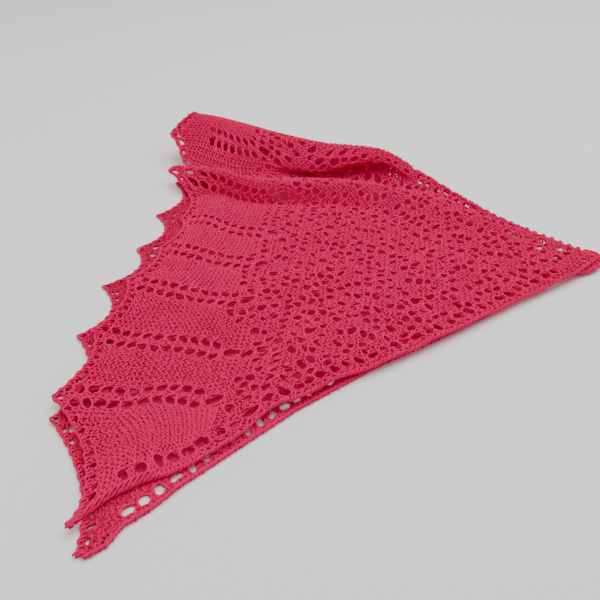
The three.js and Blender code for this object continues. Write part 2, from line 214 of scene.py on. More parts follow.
# Lace openings: length along and width across, pitch of a line of them and where it starts
BORDER_EYELET = {"long": 9.6, "wide": 10.4, "pitch": 10.9, "first": 21, "last": 17, "apart": 7.9}
ROOT_EYELET = {"long": 14.5, "wide": 13.5, "row": 4}
RIM_EYELET = {"long": 5.2, "wide": 7.4, "pitch": 10.8, "inset": 5.8, "first": 14, "last": 340}
EDGE_EYELET = {
    "long": 11.0, "wide": 11.0, "pitch": 14.0, "inset": 13.5, "first": 60, "last": 30,
    "jitter": (1.2, 0.8), "shares": (0.8, 1.1),
}
FOLD_EYELET = {
    "long": 7.4, "wide": 8.6, "pitch": 8.2, "inset": 5.5, "under": 7.5, "first": 98, "last": 238,
}
# Small openings round the neck corner: row and flat place of each, and their size
NECK_EYELETS = (
    (44, 17), (52, 26), (36, 21), (27, 15), (19, 6), (15, -5), (63, 31), (75, 40), (88, 51),
)
NECK_EYELET_SIZE = (5.0, 6.0)
LOWER_EDGE_EYELET = {
    "long": 8.8, "wide": 11.0, "pitch": 8.4, "inset": 16.5, "first": 252, "last": 399,
}
LOWER_POINT_EYELET = {"long": 8.2, "wide": 8.6, "count": 2}
LOWER_RIM_EYELET = {**RIM_EYELET, "first": 12, "last": 8}
# Share of their size that openings keep on the back of the roll, the least of them, how far
# before the crest the back starts, the row where the roll starts, and the flat place from which
# the points lie in it, whose last openings are closed
BACK_EYELET = 0.52
BACK_LEAST = 5.2
CREST_WIDTH = 4.0
ROLL_ROW = 215.0
ROLL_TIP = 200.0
END_SKIPPED = 3
# One motif of the body: rows on, place across, length along and width across of each opening
MOTIF_ALONG = 50.0
MOTIF_ACROSS = 71.0
MOTIF = (
    (-9.2, 0, 8.2, 11.0), (0, 0, 8.2, 11.5), (9.2, 0, 8.2, 11.0), (0, 35.5, 9.8, 12.0),
    (37.5, 8.9, 8.6, 9.6), (25, 17.75, 8.6, 9.6), (12.5, 26.6, 8.6, 9.6),
    (37.5, -8.9, 8.6, 9.6), (25, -17.75, 8.6, 9.6), (12.5, -26.6, 8.6, 9.6),
)
# Repeats of the motif down the columns and across the rows, and the row of the first
MOTIF_DOWN = range(8)
MOTIF_OVER = range(-6, 6)
MOTIF_FIRST = -6.0
MOTIF_JITTER = 1.3
MOTIF_UNEVEN = 0.17
# Smaller openings that fill the ground between the motifs
GROUND_EYELET = {
    "long": 7.8, "wide": 9.2, "along": 10.8, "across": 12.0, "clear": 8.6, "plain": 0.12,
    "first": 16, "beyond": 26, "sides": (-340, 320), "jitter": (1.1, 1.3), "shares": (0.75, 1.2),
}
# Room that the openings of the body keep from the border and the fold, the neck and the edge
BODY_ROOM = 9.0
NECK_ROOM = 12.0
EDGE_ROOM = 26.0
# Flat place up to which the stitches between the points stay plain to their roots
PLAIN_POINTS = -165.0

# Shape of one stitch, as shares of its width, and its unevenness by place, height and rise
LOOP_LEAN = 0.15
PLACE_UNEVEN, HEIGHT_UNEVEN, RISE_UNEVEN = 0.08, 0.09, 0.1
# Seeds of the unevenness of each set of courses and openings
SEEDS = {
    "body": 11, "border": 12, "lower_border": 14, "lower_band": 15, "motifs": 21, "ground": 22,
    "edge": 23,
}
# Points on one stitch before its strand is stepped evenly, and the even step
FINE_STEPS = 44
STRAND_STEP = 2.3
# Unevenness of the thickness of the yarn, the points it is smoothed over, sides of the tube and
# the least height of its middle over the table, past half its thickness
YARN_UNEVEN = 0.2
YARN_SMOOTHED = 5
YARN_SIDES = 4
YARN_ABOVE = 0.1
# How far inside the straight edge a row starts, and what its stitches keep from the edge
ROW_START = 1.5
LEAST_INSIDE = 1.0
# What the last row of the border keeps from its bound edge
LAST_INSIDE = 0.5
# Cord of the bound edges: distance of its strands from its middle, length of one twist and how
# far the cord lies inside the edge. The cord of the scallops has three strands
CORD_RADIUS = 1.1
CORD_LAY = 7.0
CORD_INSIDE = 0.4
RIM_RADIUS = 1.8
RIM_LAY = 11.0
RIM_STRANDS = 3
RIM_LENGTH = 760.0
# Rise and pitch of the small knobs of the scallops, the straight edges and the spine
RIM_KNOBS = (1.4, 10.8)
EDGE_KNOBS = (0.9, 5.4)
SPINE_KNOBS = (2.7, 8.2)
# Cord of the spine: how far round the fold it lies, how much it is flattened, how far it stands
# out and how much shorter it is than the columns
SPINE_TURN = 0.85
SPINE_FLAT = 0.5
SPINE_OUT = 0.4
SPINE_SHORT = 8.0
# Rows between which the fold closes below, and how far round it the cloth goes before and after
CLOSED_ROWS = (70.0, 120.0)
FOLD_TURNS = (1.2, math.pi + 0.4)
# Roll that closes the neck corner, and the line inside which its arcs of stitches start:
# stations along them, places along and across, heights
NECK_ROLL = (
    (0, 0.25, 0.5, 0.75, 1), (11, -2, -2.5, 6, 24), (15.5, 11, -1.5, -13.5, -26),
    (10.5, 9, 7, 5, 6),
)
NECK_INSIDE = (
    (0, 0.25, 0.5, 0.75, 1), (14, 9, 8, 13, 27), (12, 8, 0, -9, -25), (10, 9.4, 8.4, 7.4, 7),
)
# Points on a strand of the roll, its arcs of stitches with their number of waves and how far
# these swing along and up, and the strands wound round it with their radius and turns
NECK_STEPS = 90
NECK_ARCS = 7
NECK_WAVES = 9
NECK_SWING = (0.8, 0.6)
NECK_STRANDS = 4
NECK_RADIUS = 1.5
NECK_TURNS = 2.5
# How far the wound strands lean over to the side
NECK_LEAN = 0.6
# Narrow roll at the end of the straight edge: strands, radius, length and length of one twist,
# how far it lies inside the edge and how blunt its end is
ROLL_STRANDS = 5
ROLL_RADIUS = 3.0
ROLL_LENGTH = 62.0
ROLL_LAY = 26.0
ROLL_INSET = 3.2
ROLL_BLUNT = 6

# Cells of the core sheets and the share of them that the body takes up
UPPER_CELLS = (160, 126)
LOWER_CELLS = (120, 96)
BODY_SHARE = 0.72
# How far the cores lie out from the middle of the cloth, how far the upper one runs into the
# fold before and after it closes, and what it keeps from the scallops
CORE_OUT = -2.2
CORE_ARCS = (4, 10)
CORE_SHORT = 2.0
# The lower core: its distance out, first row, last row of its body, room beside the straight
# edge, distance from the fold before and after it closes, and what it keeps from the scallops
LOWER_CORE_OUT = -0.4
LOWER_CORE_ROWS = (50.0, 362.0)
LOWER_CORE_INSIDE = 2.5
LOWER_CORE_ARCS = (22, 3)
LOWER_CORE_SHORT = 1.0
# Share of an opening in which cells of a core are taken out, and width and length of a cell
UPPER_HOLE = {"share": 0.3, "cell": (4.2, 3.6)}
LOWER_HOLE = {"share": 0.44, "cell": (4.8, 4.4)}

# Parts in which a large piece is knitted, and the least faces of a knitted piece and of a core
KNIT_PARTS = 2
KNIT_LEAST = 1000
CORE_LEAST = 5000
# Painted shade: tone of the yarn under the scallops of the upper half, as a share of the yarn's
# own
UNDER_SHADE = np.array((0.8, 1.0, 0.66))
# Length of one twist of the two plies, in millimetres, and sizes of the fibres and of the slow
# patches of colour on the yarn and on the core, in metres
PLY_LAY = 3.4
YARN_FIBRE, YARN_PATCH = 0.0007, 0.035
CORE_FIBRE, CORE_PATCH = 0.0012, 0.02

# Half the side of the floor
FLOOR_REACH = 6
# Name, place, size, power and colour of each lamp, and colour and strength of the light around
LAMPS = (
    ("high_lamp", (0.5, 0.6, 2.2), 2.4, 56, (0.97, 0.94, 1.0)),
    ("near_lamp", (-1.6, -0.9, 1.6), 1.6, 13, (0.97, 1.0, 0.93)),
)
SKY_COLOUR = (0.95, 0.94, 1.0, 1.0)
SKY_STRENGTH = 0.55
# Camera: place in millimetres, pitch down, lens and sensor, and nearest and farthest reach
CAMERA_PLACE = (-57.5, -654.2, 396.0)
CAMERA_PITCH = math.radians(34)
CAMERA_LENS = 42
CAMERA_SENSOR = 36
CAMERA_REACH = (0.01, 30)


def smooth(stations, values, at):
    """Values at places along smooth curves through uneven stations, a curve for each place."""
    stations = np.broadcast_to(stations, at.shape + (np.shape(stations)[-1],))
    values = np.broadcast_to(values, stations.shape)
    gaps = np.diff(stations, axis=-1)
    steps = np.diff(values, axis=-1) / gaps
    share = gaps[..., :-1] / (gaps[..., :-1] + gaps[..., 1:])
    inner = steps[..., :-1] * (1 - share) + steps[..., 1:] * share
    slopes = np.concatenate([steps[..., :1], inner, steps[..., -1:]], axis=-1)
    span = (at[..., None] > stations[..., 1:-1]).sum(axis=-1)[..., None]

    def take(array, index):
        return np.take_along_axis(array, index, axis=-1)[..., 0]

    width = take(gaps, span)
    t = (at - take(stations, span)) / width
    t2 = t * t
    t3 = t2 * t
    return (
        (2 * t3 - 3 * t2 + 1) * take(values, span)
        + (t3 - 2 * t2 + t) * width * take(slopes, span)
        + (3 * t2 - 2 * t3) * take(values, span + 1)
        + (t3 - t2) * width * take(slopes, span + 1)
    )


def read_station(values, row):
    """A value of the fold tables at rows between the stations."""
    return smooth(STATIONS, np.array(values, float), np.asarray(row, float))


@lru_cache(maxsize=None)
def knot_table():
    """Knots of every row of the upper half: flat place, slide, place across and height."""
    rows = np.arange(TABLE_FIRST, POINT_ROW + TABLE_PAST, TABLE_STEP)
    edge = -EDGE_SLOPE * rows
    drawn = edge + smooth(SWAY_ROWS, EDGE_SWAY, rows) * math.hypot(1, EDGE_SLOPE)
    plain = PLAIN_FLAT * rows
    zero = np.zeros_like(rows)
    starts = {
        "flat": (edge, plain),
        "slide": (zero, zero),
        "across": (drawn, plain),
        "height": (read_station(EDGE_HEIGHT, rows), read_station(PLAIN_HEIGHT, rows)),
    }
    fields = []
    for i, field in enumerate(FOLD_FIELDS):
        lines = [read_station(fold[i], rows) for fold in FOLDS.values()]
        fields.append(np.stack([*starts[field], *lines], axis=-1))
    return np.stack(fields, axis=1)


def row_knots(row):
    """Knots at any rows, between those of the table."""
    table = knot_table()
    place = (row - TABLE_FIRST) / TABLE_STEP
    i = np.clip(place.astype(int), 0, len(table) - 2)
    share = (place - i)[:, None, None]
    return table[i] * (1 - share) + table[i + 1] * share


def on_table(along, across, height):
    """Places in the frame for places on the table."""
    plan = NECK + along[:, None] * ALONG + across[:, None] * ACROSS
    return np.column_stack([plan, height])


def smoothstep(x, low, high):
    """Nought below low, one above high and smooth between them."""
    t = np.clip((x - low) / (high - low), 0, 1)
    return t * t * (3 - 2 * t)


def middle(row, flat):
    """Middle of the wall of the upper half at rows and flat places across them."""
    knots = row_knots(row)
    slide, across, height = (smooth(knots[:, 0], knots[:, i], flat) for i in (1, 2, 3))
    swell = sum(h * np.sin(TURN * (row / a + flat / c) + p) for h, a, c, p in WAVES)
    fade = smoothstep(-flat, -WAVES_FADE, WAVES_FADE)
    waved = np.maximum(height * (1 + swell * fade), LEAST_HEIGHT)
    return on_table(row + slide, across, waved)


def unit(vectors):
    """Vectors made one long."""
    return vectors / np.maximum(np.linalg.norm(vectors, axis=-1, keepdims=True), 1e-9)


def foot_flat(row):
    """Flat place where the fold starts."""
    return read_station(FOLDS["foot"][0], row)


def foot_place(row):
    """Line on which the upper half turns into the fold, and its radius."""
    knots = row_knots(row)[:, :, -1]
    place = on_table(row + knots[:, 1], knots[:, 2], knots[:, 3])
    return place, (knots[:, 3] - WALL / 2) / 2


def round_fold(row, beyond, out):
    """Places round the fold, by the length past the line where it starts."""
    place, radius = foot_place(row)
    ahead = foot_place(row + FOOT_STEP)[0] - foot_place(row - FOOT_STEP)[0]
    run = unit(ahead * (1, 1, 0))
    outward = np.column_stack([run[:, 1], -run[:, 0], np.zeros(len(row))])
    turn = np.clip(beyond / radius, 0, math.pi)
    past = np.maximum(beyond / radius - math.pi, 0) * radius
    reach = radius + out
    place[:, 2] = radius + WALL / 2 + np.cos(turn) * reach
    return place + outward * (np.sin(turn) * reach - past)[:, None]


def upper_place(row, flat, out):
    """Places on the upper half, moved out from the middle of its wall, the fold included."""
    step = SLOPE_STEP
    foot = foot_flat(row)
    held = np.minimum(flat, foot)
    point = middle(row, held)
    down = middle(row + step, held) - middle(row - step, held)
    over = middle(row, held + step) - middle(row, held - step)
    point += unit(np.cross(over, down)) * out[:, None]
    beyond = flat > foot
    if beyond.any():
        point[beyond] = round_fold(row[beyond], (flat - foot)[beyond], out[beyond])
    return point


def lower_place(along, across, out):
    """Places on the lower half, moved out from the middle of its wall."""
    rise, long, wide = LOWER_RIPPLE
    ripple = rise * np.sin(along / long) * np.sin(across / wide)
    return on_table(along, across, LOWER_HEIGHT + ripple + out)


def from_edge(length, inset):
    """Row and flat place for a length along the straight edge and an inset from it."""
    row = length * EDGE_UNIT[0] - inset * EDGE_UNIT[1]
    return row, length * EDGE_UNIT[1] + inset * EDGE_UNIT[0]


def band_seam(row):
    """Flat place where the body starts beside the band, or beside its end at the neck corner."""
    seam = -EDGE_SLOPE * row + BAND_WIDTH * math.hypot(1, EDGE_SLOPE)
    end = (EDGE_UNIT[0] * row - BAND_START) / -EDGE_UNIT[1]
    return np.minimum(seam, end)


def point_row(flat):
    """Outermost row of the border, scalloped between its points."""
    tips = np.array([WING_ACROSS, *POINT_TIPS[1:], LAST_TIP])
    i = np.clip(np.searchsorted(tips, flat) - 1, 0, len(tips) - 2)
    t = np.clip((flat - tips[i]) / (tips[i + 1] - tips[i]), 0, 1)
    base = np.where(i == 0, WING_ALONG + (POINT_ROW - WING_ALONG) * t, POINT_ROW)
    depth = np.where(i == 0, SCALLOP_DEPTH, UPPER_SCALLOP)
    return base - depth * np.sin(np.pi * t) ** SCALLOP_POWER


def border_columns(stitch):
    """Flat place at the points and at the roots, for a place in stitches along the border."""
    counts = np.arange(len(POINT_TIPS)) * REPEAT_STITCHES
    before = np.minimum(stitch, 0) * OUTER_STITCH
    after = np.maximum(stitch - counts[-1], 0) * OUTER_STITCH
    return [np.interp(stitch, counts, line) + before + after for line in (POINT_TIPS, POINT_ROOTS)]


def edge_flat(row):
    """Flat place of the straight edge."""
    return -EDGE_SLOPE * row


def eyelets_of_border():
    """Two lines of openings down each point, from a large one at its root."""
    size = BORDER_EYELET
    large = (ROOT_EYELET["long"], ROOT_EYELET["wide"])
    found = []
    rows = np.arange(POINT_ROW - size["first"], BORDER_ROW + size["last"], -size["pitch"])
    for tip, root in zip(POINT_TIPS[1:], POINT_LINES[1:]):
        found.append((BORDER_ROW + ROOT_EYELET["row"], root, *large))
        for row in rows[END_SKIPPED if tip > ROLL_TIP else 0:]:
            line = root + (tip - root) * ((row - BORDER_ROW) / (POINT_ROW - BORDER_ROW)) ** 2
            for side in (-1, 1):
                found.append((row, line + side * size["apart"], size["long"], size["wide"]))
    return found


def eyelets_of_rim(size, outline, first, last):
    """Slots between the bound edge of the scallops and the last rows."""
    tips = np.arange(first, last, size["pitch"])
    rows = outline(tips) - size["inset"]
    return [(row, tip, size["long"], size["wide"]) for row, tip in zip(rows, tips)]


def eyelets_of_motifs():
    """Openings of all the motifs, each moved and sized a little."""
    rng = np.random.default_rng(SEEDS["motifs"])
    found = []
    for i in MOTIF_DOWN:
        shift = 0 if i % 2 == 0 else MOTIF_ACROSS / 2
        for j in MOTIF_OVER:
            for on, over, long, wide in MOTIF:
                row, flat = rng.normal(0, MOTIF_JITTER, 2)
                share = 1 + rng.uniform(-MOTIF_UNEVEN, MOTIF_UNEVEN)
                row += i * MOTIF_ALONG + MOTIF_FIRST + on
                flat += j * MOTIF_ACROSS + shift + over
                found.append((row, flat, long * share, wide * share))
    return found


def eyelets_of_body():
    """Openings of the motifs, with smaller ones wherever there is room between them."""
    size = GROUND_EYELET
    rng = np.random.default_rng(SEEDS["ground"])
    border = eyelets_of_border()
    body_end = BORDER_ROW - BODY_ROOM
    found = [hole for hole in eyelets_of_motifs() if hole[0] < body_end]
    lines = np.arange(size["first"], BORDER_ROW + size["beyond"], size["along"])
    for k, line in enumerate(lines):
        for place in np.arange(*size["sides"], size["across"]):
            row = line + rng.normal(0, size["jitter"][0])
            flat = place + (k % 2) * size["across"] / 2 + rng.normal(0, size["jitter"][1])
            share = rng.uniform(*size["shares"])
            skipped = rng.uniform() < size["plain"]
            near = min(math.hypot(row - hole[0], flat - hole[1]) for hole in found + border)
            within = row < body_end or flat > PLAIN_POINTS
            if within and not skipped and near > size["clear"]:
                found.append((row, flat, size["long"] * share, size["wide"] * share))
    return [
        hole for hole in found
        if hole[0] > NECK_ROOM and hole[1] < foot_flat(hole[0]) - BODY_ROOM
    ]


def eyelets_of_fold():
    """Small openings round the neck corner, and a line of them on each side of the fold."""
    size = FOLD_EYELET
    found = [(row, flat, *NECK_EYELET_SIZE) for row, flat in NECK_EYELETS]
    for row in np.arange(size["first"], size["last"], size["pitch"]):
        for aside in (-size["inset"], size["under"]):
            found.append((row, foot_flat(row) + aside, size["long"], size["wide"]))
    return found


def eyelets_of_edge():
    """A line of openings inside the straight edge."""
    size = EDGE_EYELET
    rng = np.random.default_rng(SEEDS["edge"])
    found = []
    for length in np.arange(size["first"], EDGE_LENGTH - size["last"], size["pitch"]):
        shift, aside = (rng.normal(0, jitter) for jitter in size["jitter"])
        row, flat = from_edge(length + shift, size["inset"] + aside)
        share = rng.uniform(*size["shares"])
        found.append((row, flat, size["long"] * share, size["wide"] * share))
    return found


@lru_cache(maxsize=None)
def upper_eyelets():
    """Openings of the upper half, less those of the inside that would run over the edge."""
    inside = [
        hole for hole in eyelets_of_body() + eyelets_of_border()
        if hole[1] > edge_flat(hole[0]) + EDGE_ROOM
    ]
    size = RIM_EYELET
    rim = eyelets_of_rim(size, point_row, WING_ACROSS + size["first"], size["last"])
    found = np.array(inside + rim + eyelets_of_edge(), float)
    crest = read_station(FOLDS["top"][0], found[:, 0])
    back = (found[:, 1] > crest - CREST_WIDTH) & (found[:, 0] > ROLL_ROW)
    found[back, 2:] *= BACK_EYELET
    return np.vstack([found[~back | (found[:, 2] > BACK_LEAST)], eyelets_of_fold()])


def go_round(x, y, away):
    """Lead a strand evenly round the middle of an opening, instead of straight across it."""
    inner = np.flatnonzero(away < ROUND_SHARE)
    for run in np.split(inner, np.flatnonzero(np.diff(inner) > 1) + 1):
        if len(run) > 2:
            turn = np.unwrap(np.arctan2(y[run], x[run]))
            turn = np.linspace(turn[0], turn[-1], len(run))
            x[run] = away[run] * np.cos(turn)
            y[run] = away[run] * np.sin(turn)


def open_eyelets(row, flat, eyelets, strand=True):
    """Push places out of the openings, so that the yarn runs round each of them."""
    rows = eyelets[:, 0]
    near = eyelets[(rows > row.min() - EYELET_NEAR) & (rows < row.max() + EYELET_NEAR)]
    per_row, per_flat = SLANT_CHANGE
    new_row, new_flat = row.copy(), flat.copy()
    for at_row, at_flat, long, wide in near:
        slant = EYELET_SLANT * math.sin(at_row * per_row + at_flat * per_flat)
        first_y = (row - at_row) / (long / 2)
        first_x = (flat - at_flat - slant * (row - at_row)) / (wide / 2)
        x, y = first_x.copy(), first_y.copy()
        away = np.hypot(x, y)
        if strand:
            go_round(x, y, away)
        close = away < EYELET_REACH
        d = np.maximum(away[close], 1e-6)
        pushed = np.sqrt(1 + d * d * (1 - 1 / EYELET_REACH**2))
        down = (y[close] / d * pushed - first_y[close]) * long / 2
        new_row[close] += down
        new_flat[close] += (x[close] / d * pushed - first_x[close]) * wide / 2 + slant * down
    return new_row, new_flat


def loops(first, last, height, lift, rng):
    """One course of stitches: place in stitches, rise and lift, unevenly."""
    t = np.arange(first * FINE_STEPS, last * FINE_STEPS + 1) / FINE_STEPS
    count = int(last - first) + 3
    uneven = rng.normal(size=(3, count))
    bump = [np.interp(t, np.arange(count) + first - 1, values) for values in uneven]
    place = t + LOOP_LEAN * np.sin(2 * TURN * t) + PLACE_UNEVEN * bump[0]
    swing = np.cos(TURN * t) * (1 + HEIGHT_UNEVEN * bump[1])
    rise = height * (swing + RISE_UNEVEN * bump[2])
    return place, rise, lift * np.cos(2 * TURN * t)


def even_steps(*lines):
    """The same strand with its points an even step apart."""
    points = np.stack(lines, axis=1)
    lengths = np.r_[0, np.cumsum(np.linalg.norm(np.diff(points, axis=0), axis=1))]
    if lengths[-1] < 2 * STRAND_STEP:
        return []
    at = np.linspace(0, lengths[-1], int(lengths[-1] / STRAND_STEP) + 1)
    return [[np.interp(at, lengths, line) for line in lines]]


def course(row, flat, lift, keep, eyelets):
    """The strand of one course where it is kept, led round the openings; none if too short."""
    if not keep.any():
        return []
    return even_steps(*open_eyelets(row[keep], flat[keep], eyelets), lift[keep])


def body_courses(sizes):
    """Strands of the body, from the neck corner to the border, round the fold."""
    rng = np.random.default_rng(SEEDS["body"])
    strands = []
    for row in np.arange(BORDER_ROW - sizes.row / 2, 1, -sizes.row):
        start = float(edge_flat(row)) + ROW_START
        turn = np.interp(row, CLOSED_ROWS, FOLD_TURNS)
        stop = float(foot_flat(row)) + turn * float(foot_place(np.array([row]))[1][0])
        ends = (math.ceil(end / sizes.width) for end in (start, stop))
        place, rise, lift = loops(*ends, sizes.loop, sizes.lift, rng)
        at_row, flat = row + rise, place * sizes.width
        keep = flat > edge_flat(at_row) + LEAST_INSIDE
        strands += course(at_row, flat, lift, keep, upper_eyelets())
    return strands


def border_grid(stitch, share):
    """Row and flat place in the border, by place in stitches and share of its depth."""
    tip, root = border_columns(stitch)
    row = BORDER_ROW + (point_row(tip) - BORDER_ROW) * share
    flat = root + (tip - root) * share
    first, last = (foot_flat(np.array([end]))[0] for end in (BORDER_ROW, POINT_ROW))
    straight = first * (1 - share) + last * share
    return row, flat + (foot_flat(row) - straight) * smoothstep(flat, FAR_BEND, straight)


def border_courses(sizes):
    """Strands of the border, from its root to the scallops."""
    rng = np.random.default_rng(SEEDS["border"])
    strands = []
    depth = POINT_ROW - BORDER_ROW
    count = round(depth / sizes.row)
    for k in range(count):
        share = (k + 0.5) / count
        place, rise, lift = loops(*BORDER_STITCHES, sizes.loop, sizes.lift, rng)
        rise = np.minimum(rise, (1 - share) * depth - LAST_INSIDE)
        row, flat = border_grid(place, share + rise / depth)
        keep = (flat > edge_flat(row) + LEAST_INSIDE) & (flat < foot_flat(row) + PAST_FOLD)
        strands += course(row, flat, lift, keep, upper_eyelets())
    return strands


def cord(length, radius, lay, strands=2):
    """Strands laid round each other: length, offset sideways and lift of each."""
    at = np.arange(0, length, STRAND_STEP / 2)
    turns = [at * TURN / lay + k * TURN / strands for k in range(strands)]
    return [(at, radius * np.cos(turn), radius * np.sin(turn)) for turn in turns]


def knobs(at, rise_and_pitch):
    """How far the small knobs of a bound edge stand out, at lengths along it."""
    rise, pitch = rise_and_pitch
    return rise * np.maximum(np.cos(TURN * at / pitch), 0)


def edge_cords():
    """Bound edge along the straight side of the upper half."""
    strands = []
    for at, aside, lift in cord(EDGE_LENGTH, CORD_RADIUS, CORD_LAY):
        row, flat = from_edge(at, CORD_RADIUS + CORD_INSIDE + aside - knobs(at, EDGE_KNOBS))
        strands.append([row, flat, lift])
    return strands


def wing_roll():
    """Strands wound into the narrow roll at the end of the straight edge."""
    strands = []
    at = np.arange(0, ROLL_LENGTH, STRAND_STEP / 2)
    thick = ROLL_RADIUS * np.sqrt(np.maximum(1 - (at / ROLL_LENGTH) ** ROLL_BLUNT, 0))
    for k in range(ROLL_STRANDS):
        turn = at * TURN / ROLL_LAY + k * TURN / ROLL_STRANDS
        length = EDGE_LENGTH + 1 - ROLL_LENGTH + at
        row, flat = from_edge(length, ROLL_INSET + thick * np.cos(turn))
        strands.append([row, flat, thick * np.sin(turn)])
    return strands


def spine_cords():
    """Knobbly cord along the outside of the fold."""
    strands = []
    for at, aside, lift in cord(POINT_ROW - SPINE_SHORT, CORD_RADIUS, CORD_LAY):
        row = at + FIRST_ROW
        crest = foot_place(row)[1] * SPINE_TURN
        out = lift * SPINE_FLAT + SPINE_OUT + knobs(at, SPINE_KNOBS)
        strands.append([row, foot_flat(row) + crest + aside, out])
    return strands


def rim_cords():
    """Bound edge along the scallops of the upper half."""
    strands = []
    for at, aside, lift in cord(RIM_LENGTH, RIM_RADIUS, RIM_LAY, RIM_STRANDS):
        tip = WING_ACROSS + at
        row = point_row(tip) - RIM_RADIUS + aside + knobs(at, RIM_KNOBS)
        keep = tip < foot_flat(row) + PAST_FOLD
        strands.append([row[keep], tip[keep], lift[keep] + RIM_RADIUS / 2])
    return strands


def add_object(name, held):
    """An object of its own for a mesh, a line, a lamp or a camera."""
    made = bpy.data.objects.new(name, held)
    bpy.context.collection.objects.link(made)
    return made


def finished_mesh(name, cells):
    """A mesh from cells, which are freed."""
    mesh = bpy.data.meshes.new(name)
    cells.to_mesh(mesh)
    cells.free()
    return mesh


def knit(name, strands, thickness):
    """A piece of yarn: a tube along each strand of places in millimetres."""
    curve = bpy.data.curves.new(name, "CURVE")
    curve.dimensions = "3D"
    curve.bevel_depth = thickness / 2 * MM
    curve.bevel_resolution = 0
    rng = np.random.default_rng(len(strands))
    window = np.ones(YARN_SMOOTHED) / YARN_SMOOTHED
    for points in strands:
        count = len(points)
        spline = curve.splines.new("POLY")
        spline.points.add(count - 1)
        spline.points.foreach_set("co", np.column_stack([points * MM, np.ones(count)]).ravel())
        uneven = np.convolve(rng.normal(size=count + YARN_SMOOTHED - 1), window, "valid")
        spline.points.foreach_set("radius", 1 + YARN_UNEVEN * uneven)
    tube = add_object(name + "_line", curve)
    drawn = tube.evaluated_get(bpy.context.evaluated_depsgraph_get())
    mesh = bpy.data.meshes.new_from_object(drawn)
    bpy.data.objects.remove(tube)
    bpy.data.curves.remove(curve)
    mesh.name = name
    mesh.materials.clear()
    mesh.shade_smooth()
    return add_object(name, mesh)


def tag_strands(mesh, lengths):
    """Give each corner of a tube its length along the strand and its place round it."""
    along = np.concatenate([np.arange(n) * STRAND_STEP for n in lengths]).repeat(YARN_SIDES)
    turn = np.tile(np.arange(YARN_SIDES) * TURN / YARN_SIDES, sum(lengths))
    tag = mesh.attributes.new("strand", "FLOAT_VECTOR", "POINT")
    tag.data.foreach_set("vector", np.column_stack([along, np.cos(turn), np.sin(turn)]).ravel())


def close_ends(mesh):
    """Close the ends of the tubes of yarn."""
    tubes = bmesh.new()
    tubes.from_mesh(mesh)
    open_edges = [edge for edge in tubes.edges if edge.is_boundary]
    bmesh.ops.holes_fill(tubes, edges=open_edges, sides=YARN_SIDES)
    tubes.to_mesh(mesh)
    tubes.free()


def grid_sheet(name, columns, rows, place, gone):
    """A sheet of cells, placed by their shares across and along, less those that are gone."""
    sheet = bmesh.new()
    bmesh.ops.create_grid(sheet, x_segments=columns, y_segments=rows, size=0.5)
    sheet.verts.ensure_lookup_table()
    shares = np.array([vert.co[:2] for vert in sheet.verts]) + 0.5
    centres = np.array([face.calc_center_median()[:2] for face in sheet.faces]) + 0.5
    sheet.faces.ensure_lookup_table()
    removed = [sheet.faces[i] for i in np.flatnonzero(gone(centres[:, 0], centres[:, 1]))]
    for vert, point in zip(sheet.verts, place(shares[:, 0], shares[:, 1])):
        vert.co = point * MM
    bmesh.ops.delete(sheet, geom=removed, context="FACES")
    mesh = finished_mesh(name, sheet)
    mesh.shade_smooth()
    return add_object(name, mesh)


def upper_grid(u, v):
    """Row and flat place of the upper cloth by its shares across and along."""
    row = FIRST_ROW + (BORDER_ROW - FIRST_ROW) * np.minimum(v / BODY_SHARE, 1)
    first = edge_flat(row) + ROW_START
    flat = first + (foot_flat(row) + np.interp(row, CLOSED_ROWS, CORE_ARCS) - first) * u
    share = np.clip((v - BODY_SHARE) / (1 - BODY_SHARE), 0, 1)
    far = foot_flat(np.array([POINT_ROW]))[0] + CORE_ARCS[1]
    tip = WING_ACROSS + (far - WING_ACROSS) * u
    row = row + (point_row(tip) - CORE_SHORT - BORDER_ROW) * share
    return row, np.maximum(flat + (tip - flat) * share, edge_flat(row) + ROW_START)


def in_eyelets(row, flat, eyelets, hole):
    """Which cells lie in an opening, or hold the middle of one."""
    wide_cell, long_cell = hole["cell"]
    inside = np.zeros(len(row), bool)
    for at_row, at_flat, long, wide in eyelets:
        x = np.abs(flat - at_flat)
        y = np.abs(row - at_row)
        inside |= np.hypot(x / wide, y / long) < hole["share"]
        inside |= (x < wide_cell / 2) & (y < long_cell / 2)
    return inside


def upper_cloth_place(u, v):
    """Places of the corners of the upper core sheet."""
    row, flat = open_eyelets(*upper_grid(u, v), upper_eyelets(), False)
    return upper_place(row, flat, np.full(len(row), CORE_OUT))


def upper_cloth_gone(u, v):
    """Cells of the upper core sheet that lie in its openings."""
    return in_eyelets(*upper_grid(u, v), upper_eyelets(), UPPER_HOLE)


def lower_edge_across(along):
    """Place across of the straight edge of the lower half."""
    return np.interp(along, LOWER_EDGE[:, 0], LOWER_EDGE[:, 1])


@lru_cache(maxsize=None)
def lower_foot_line():
    """Line on the table over which the upper half turns into the fold."""
    rows = np.arange(0.0, POINT_ROW, FOOT_STEP)
    knots = row_knots(rows)[:, :, -1]
    return rows + knots[:, 1], knots[:, 2]


def lower_scallop(across):
    """How far along the scallops of the lower half reach."""
    tips = LOWER_POINTS[:, 1]
    i = np.clip(np.searchsorted(tips, across) - 1, 0, len(tips) - 2)
    t = np.clip((across - tips[i]) / (tips[i + 1] - tips[i]), 0, 1)
    line = np.interp(across, tips, LOWER_POINTS[:, 0])
    depth = np.where(i == 0, LOWER_WING_DEPTH, SCALLOP_DEPTH)
    return line - depth * np.sin(np.pi * t) ** SCALLOP_POWER


